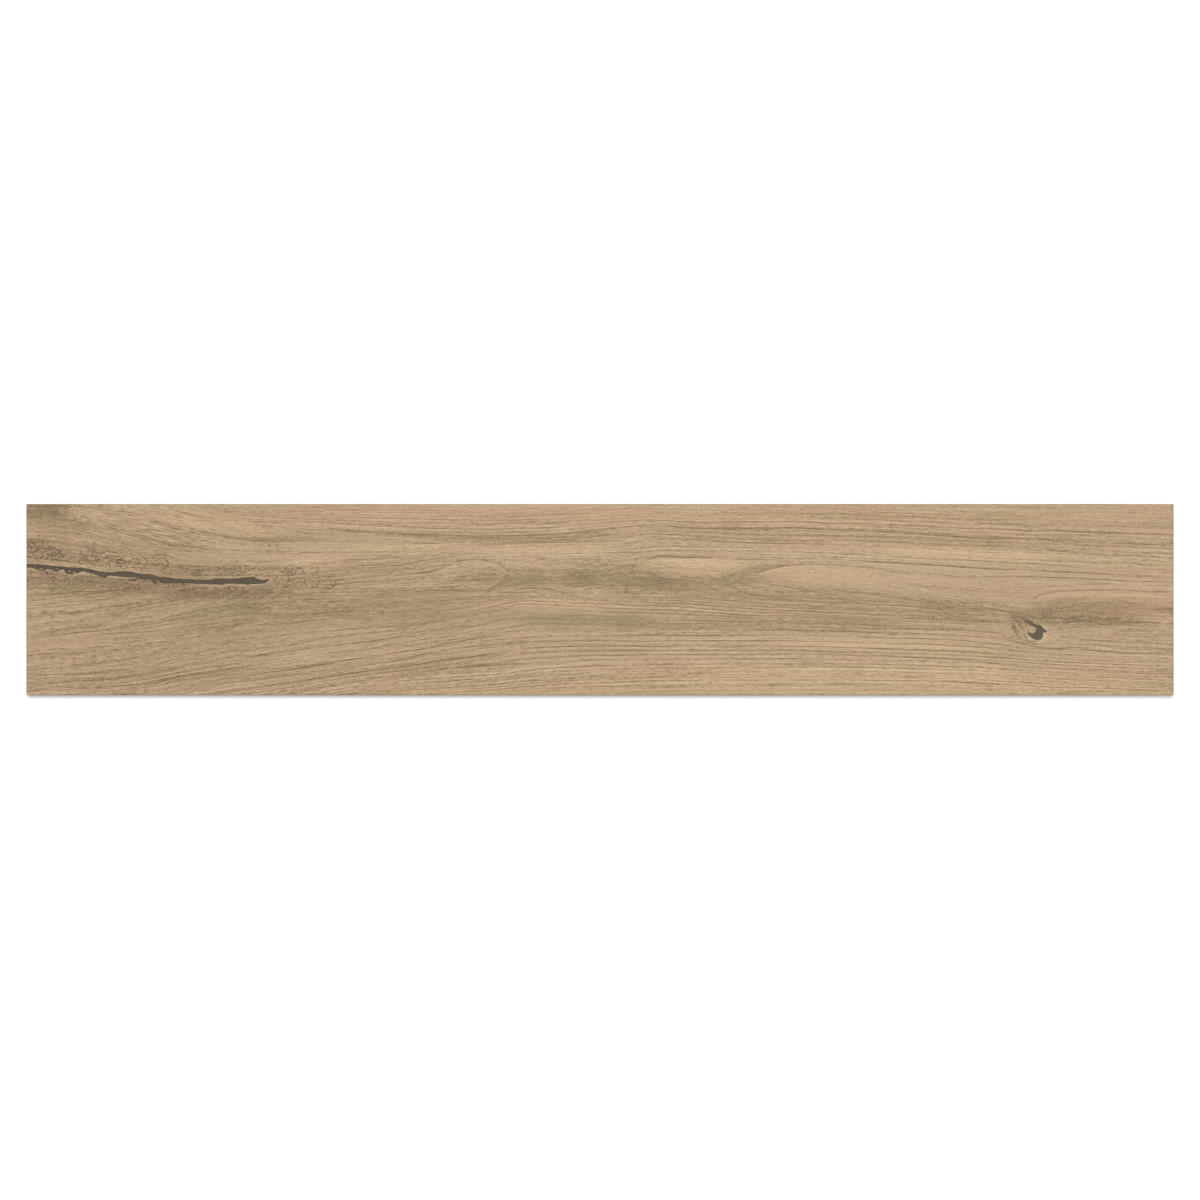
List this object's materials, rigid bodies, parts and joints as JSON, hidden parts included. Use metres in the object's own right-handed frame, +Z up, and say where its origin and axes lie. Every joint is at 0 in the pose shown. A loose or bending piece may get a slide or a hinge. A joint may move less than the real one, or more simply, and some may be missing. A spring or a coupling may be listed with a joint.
{
  "type": "wood look porcelain plank tile",
  "caption": "Long rectangular porcelain floor tile with a matt oak-plank face, ground square edges, fine upper bevel and a keyed back for adhesive.",
  "frame": {"origin": "middle of the back, on the plane of its rib tops", "axes": "+X along the plank, +Y across it, +Z up out of the printed face"},
  "size_m": [1.2, 0.2, 0.009],
  "materials": {
    "printed_porcelain": "matt oak print over a low grain relief, pale beige stoneware on the ground edges and the back"
  },
  "bodies": {
    "root": {"plank_tile": "printed_porcelain"}
  },
  "joints": []
}
